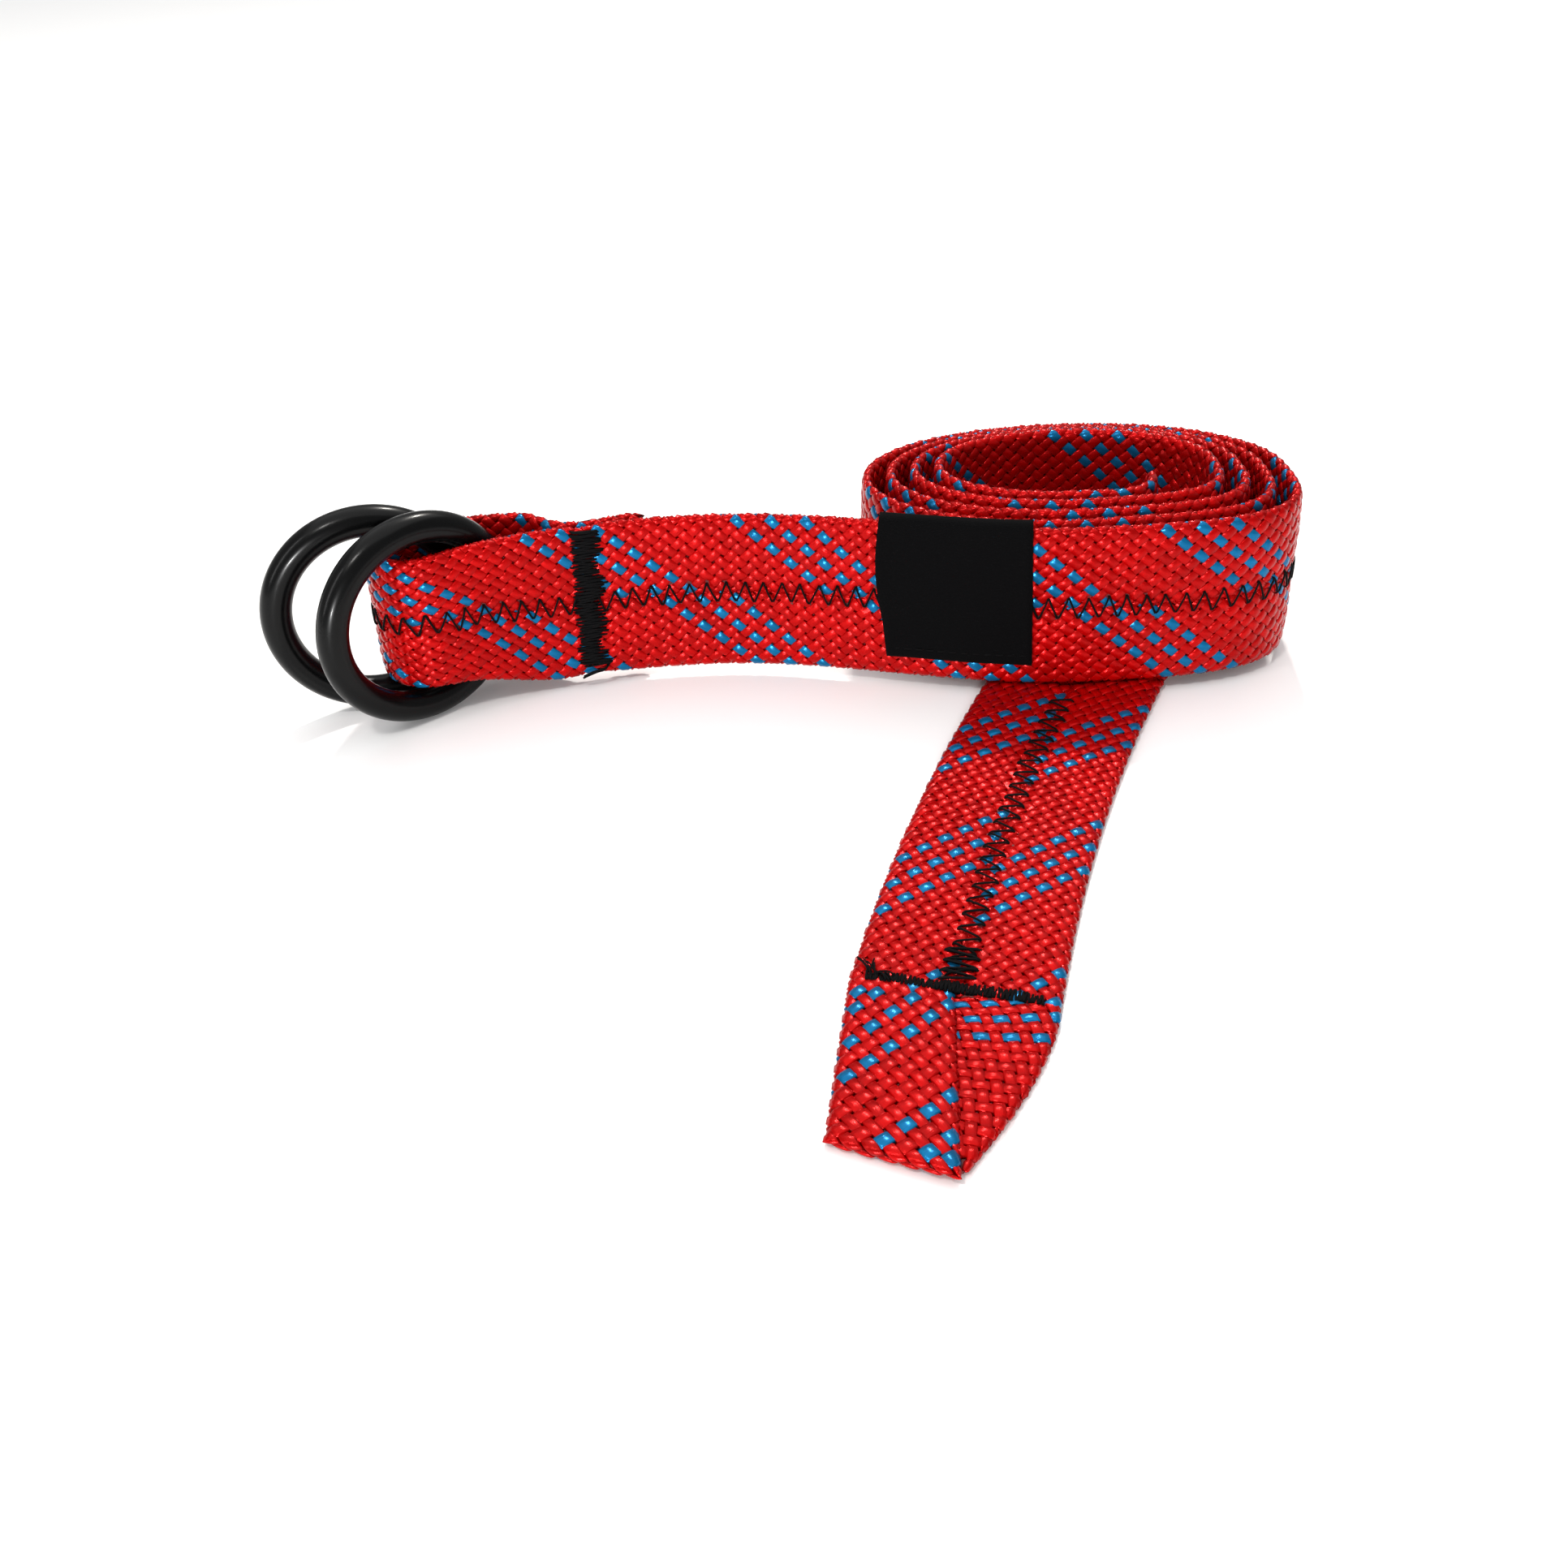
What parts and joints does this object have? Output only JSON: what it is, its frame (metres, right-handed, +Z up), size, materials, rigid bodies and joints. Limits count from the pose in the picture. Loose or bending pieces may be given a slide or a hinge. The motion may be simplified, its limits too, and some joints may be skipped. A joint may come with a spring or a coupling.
{
  "type": "ring belt",
  "caption": "Rolled ring belt of flattened braided climbing-rope sheath, sewn double down its middle, with two round rings held in a tacked loop at one end.",
  "frame": {"origin": "on the ground under the middle of the whole belt's bounding box, as it stands rolled up", "axes": "+X from the rings to the coil, along the buckle run; +Y from the loose tail back to the coil; +Z up"},
  "size_m": [0.2182, 0.1956, 0.0457],
  "materials": {
    "sheath": "satin braided yarn, red with blue marker yarns",
    "thread": "black sewing thread",
    "label_cloth": "black satin weave",
    "ring": "glossy black"
  },
  "bodies": {
    "root": {"end_upper": "sheath", "end_lower": "sheath", "loop_upper": "sheath", "loop_lower": "sheath", "run_upper": "sheath", "run_lower": "sheath", "coil_1_upper": "sheath", "coil_1_lower": "sheath", "coil_2_upper": "sheath", "coil_2_lower": "sheath", "coil_3_upper": "sheath", "coil_3_lower": "sheath", "coil_4_upper": "sheath", "coil_4_lower": "sheath", "bend_upper": "sheath", "bend_lower": "sheath", "twist_upper": "sheath", "twist_lower": "sheath", "tail_root_left": "sheath", "tail_root_right": "sheath", "seam_thread": "thread", "ring_tack": "thread", "label": "label_cloth", "label_stitch": "thread"},
    "tail": {"tail_left": "sheath", "tail_right": "sheath", "tip_left": "sheath", "tip_right": "sheath", "tail_seam_thread": "thread", "tip_tack": "thread"},
    "front_ring": {"front_ring": "ring"},
    "rear_ring": {"rear_ring": "ring"}
  },
  "joints": [
    {"name": "tail_lift", "type": "hinge", "parent": "root", "child": "tail", "pos_m": [0.0542, 0.02437, 0.0026], "axis": [-0.9068, 0.4217, 0], "range_deg": [0, 60]},
    {"name": "front_ring_swing", "type": "hinge", "parent": "root", "child": "front_ring", "pos_m": [-0.06296, 0.04974, 0.02285], "axis": [0, 0, 1], "range_deg": [-2, 8]},
    {"name": "rear_ring_swing", "type": "hinge", "parent": "root", "child": "rear_ring", "pos_m": [-0.07046, 0.04974, 0.02285], "axis": [0, 0, 1], "range_deg": [-20, 3]}
  ]
}
